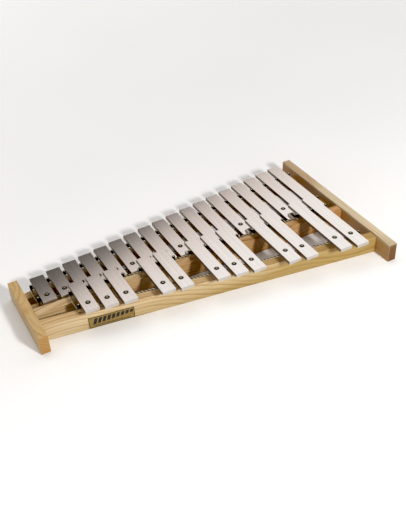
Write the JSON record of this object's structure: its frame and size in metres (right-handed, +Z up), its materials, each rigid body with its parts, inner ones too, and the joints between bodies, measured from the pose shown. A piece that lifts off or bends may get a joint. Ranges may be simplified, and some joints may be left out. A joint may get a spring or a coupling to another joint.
{
  "type": "chromatic metal bar instrument",
  "caption": "Metal bars in two rows rest on twisted cords over a low trapezoid pine frame, held by sleeved brass posts.",
  "frame": {"origin": "centre of the outline, on the surface that the frame stands on", "axes": "+X along the rows to the low notes, +Y to the player's side, where the naturals are, +Z up"},
  "size_m": [0.823, 0.446, 0.0665],
  "materials": {
    "bar_aluminium": "brushed along the bar",
    "pine": "clear satin lacquer",
    "dowel_wood": "bare",
    "post_brass": "bright",
    "sleeve_rubber": "matt",
    "cord_twine": "two twisted strands, black and cream",
    "plate_brass": "satin"
  },
  "bodies": {
    "frame": {"frame_dowels": "dowel_wood", "high_end_board": "pine", "low_end_board": "pine", "name_plate": "plate_brass", "natural_cord": "cord_twine", "natural_inner_posts": "post_brass", "natural_inner_rail": "pine", "natural_inner_sleeves": "sleeve_rubber", "natural_outer_posts": "post_brass", "natural_outer_rail": "pine", "natural_outer_sleeves": "sleeve_rubber", "sharp_cord": "cord_twine", "sharp_inner_posts": "post_brass", "sharp_inner_rail": "pine", "sharp_inner_sleeves": "sleeve_rubber", "sharp_outer_posts": "post_brass", "sharp_outer_rail": "pine", "sharp_outer_sleeves": "sleeve_rubber"},
    "bar_a5": {"bar_a5": "bar_aluminium"},
    "bar_a6": {"bar_a6": "bar_aluminium"},
    "bar_a7": {"bar_a7": "bar_aluminium"},
    "bar_a_sharp_5": {"bar_a_sharp_5": "bar_aluminium"},
    "bar_a_sharp_6": {"bar_a_sharp_6": "bar_aluminium"},
    "bar_a_sharp_7": {"bar_a_sharp_7": "bar_aluminium"},
    "bar_b5": {"bar_b5": "bar_aluminium"},
    "bar_b6": {"bar_b6": "bar_aluminium"},
    "bar_b7": {"bar_b7": "bar_aluminium"},
    "bar_c6": {"bar_c6": "bar_aluminium"},
    "bar_c7": {"bar_c7": "bar_aluminium"},
    "bar_c8": {"bar_c8": "bar_aluminium"},
    "bar_c_sharp_6": {"bar_c_sharp_6": "bar_aluminium"},
    "bar_c_sharp_7": {"bar_c_sharp_7": "bar_aluminium"},
    "bar_d6": {"bar_d6": "bar_aluminium"},
    "bar_d7": {"bar_d7": "bar_aluminium"},
    "bar_d_sharp_6": {"bar_d_sharp_6": "bar_aluminium"},
    "bar_d_sharp_7": {"bar_d_sharp_7": "bar_aluminium"},
    "bar_e6": {"bar_e6": "bar_aluminium"},
    "bar_e7": {"bar_e7": "bar_aluminium"},
    "bar_f6": {"bar_f6": "bar_aluminium"},
    "bar_f7": {"bar_f7": "bar_aluminium"},
    "bar_f_sharp_6": {"bar_f_sharp_6": "bar_aluminium"},
    "bar_f_sharp_7": {"bar_f_sharp_7": "bar_aluminium"},
    "bar_g5": {"bar_g5": "bar_aluminium"},
    "bar_g6": {"bar_g6": "bar_aluminium"},
    "bar_g7": {"bar_g7": "bar_aluminium"},
    "bar_g_sharp_5": {"bar_g_sharp_5": "bar_aluminium"},
    "bar_g_sharp_6": {"bar_g_sharp_6": "bar_aluminium"},
    "bar_g_sharp_7": {"bar_g_sharp_7": "bar_aluminium"}
  },
  "joints": [
    {"name": "lift_a5", "type": "slide", "parent": "frame", "child": "bar_a5", "axis": [0, 0, 1], "range_m": [0, 0.009]},
    {"name": "lift_a6", "type": "slide", "parent": "frame", "child": "bar_a6", "axis": [0, 0, 1], "range_m": [0, 0.009]},
    {"name": "lift_a7", "type": "slide", "parent": "frame", "child": "bar_a7", "axis": [0, 0, 1], "range_m": [0, 0.009]},
    {"name": "lift_a_sharp_5", "type": "slide", "parent": "frame", "child": "bar_a_sharp_5", "axis": [0, 0, 1], "range_m": [0, 0.025]},
    {"name": "lift_a_sharp_6", "type": "slide", "parent": "frame", "child": "bar_a_sharp_6", "axis": [0, 0, 1], "range_m": [0, 0.025]},
    {"name": "lift_a_sharp_7", "type": "slide", "parent": "frame", "child": "bar_a_sharp_7", "axis": [0, 0, 1], "range_m": [0, 0.025]},
    {"name": "lift_b5", "type": "slide", "parent": "frame", "child": "bar_b5", "axis": [0, 0, 1], "range_m": [0, 0.009]},
    {"name": "lift_b6", "type": "slide", "parent": "frame", "child": "bar_b6", "axis": [0, 0, 1], "range_m": [0, 0.009]},
    {"name": "lift_b7", "type": "slide", "parent": "frame", "child": "bar_b7", "axis": [0, 0, 1], "range_m": [0, 0.009]},
    {"name": "lift_c6", "type": "slide", "parent": "frame", "child": "bar_c6", "axis": [0, 0, 1], "range_m": [0, 0.009]},
    {"name": "lift_c7", "type": "slide", "parent": "frame", "child": "bar_c7", "axis": [0, 0, 1], "range_m": [0, 0.009]},
    {"name": "lift_c8", "type": "slide", "parent": "frame", "child": "bar_c8", "axis": [0, 0, 1], "range_m": [0, 0.009]},
    {"name": "lift_c_sharp_6", "type": "slide", "parent": "frame", "child": "bar_c_sharp_6", "axis": [0, 0, 1], "range_m": [0, 0.025]},
    {"name": "lift_c_sharp_7", "type": "slide", "parent": "frame", "child": "bar_c_sharp_7", "axis": [0, 0, 1], "range_m": [0, 0.025]},
    {"name": "lift_d6", "type": "slide", "parent": "frame", "child": "bar_d6", "axis": [0, 0, 1], "range_m": [0, 0.009]},
    {"name": "lift_d7", "type": "slide", "parent": "frame", "child": "bar_d7", "axis": [0, 0, 1], "range_m": [0, 0.009]},
    {"name": "lift_d_sharp_6", "type": "slide", "parent": "frame", "child": "bar_d_sharp_6", "axis": [0, 0, 1], "range_m": [0, 0.025]},
    {"name": "lift_d_sharp_7", "type": "slide", "parent": "frame", "child": "bar_d_sharp_7", "axis": [0, 0, 1], "range_m": [0, 0.025]},
    {"name": "lift_e6", "type": "slide", "parent": "frame", "child": "bar_e6", "axis": [0, 0, 1], "range_m": [0, 0.009]},
    {"name": "lift_e7", "type": "slide", "parent": "frame", "child": "bar_e7", "axis": [0, 0, 1], "range_m": [0, 0.009]},
    {"name": "lift_f6", "type": "slide", "parent": "frame", "child": "bar_f6", "axis": [0, 0, 1], "range_m": [0, 0.009]},
    {"name": "lift_f7", "type": "slide", "parent": "frame", "child": "bar_f7", "axis": [0, 0, 1], "range_m": [0, 0.009]},
    {"name": "lift_f_sharp_6", "type": "slide", "parent": "frame", "child": "bar_f_sharp_6", "axis": [0, 0, 1], "range_m": [0, 0.025]},
    {"name": "lift_f_sharp_7", "type": "slide", "parent": "frame", "child": "bar_f_sharp_7", "axis": [0, 0, 1], "range_m": [0, 0.025]},
    {"name": "lift_g5", "type": "slide", "parent": "frame", "child": "bar_g5", "axis": [0, 0, 1], "range_m": [0, 0.009]},
    {"name": "lift_g6", "type": "slide", "parent": "frame", "child": "bar_g6", "axis": [0, 0, 1], "range_m": [0, 0.009]},
    {"name": "lift_g7", "type": "slide", "parent": "frame", "child": "bar_g7", "axis": [0, 0, 1], "range_m": [0, 0.009]},
    {"name": "lift_g_sharp_5", "type": "slide", "parent": "frame", "child": "bar_g_sharp_5", "axis": [0, 0, 1], "range_m": [0, 0.025]},
    {"name": "lift_g_sharp_6", "type": "slide", "parent": "frame", "child": "bar_g_sharp_6", "axis": [0, 0, 1], "range_m": [0, 0.025]},
    {"name": "lift_g_sharp_7", "type": "slide", "parent": "frame", "child": "bar_g_sharp_7", "axis": [0, 0, 1], "range_m": [0, 0.025]}
  ]
}
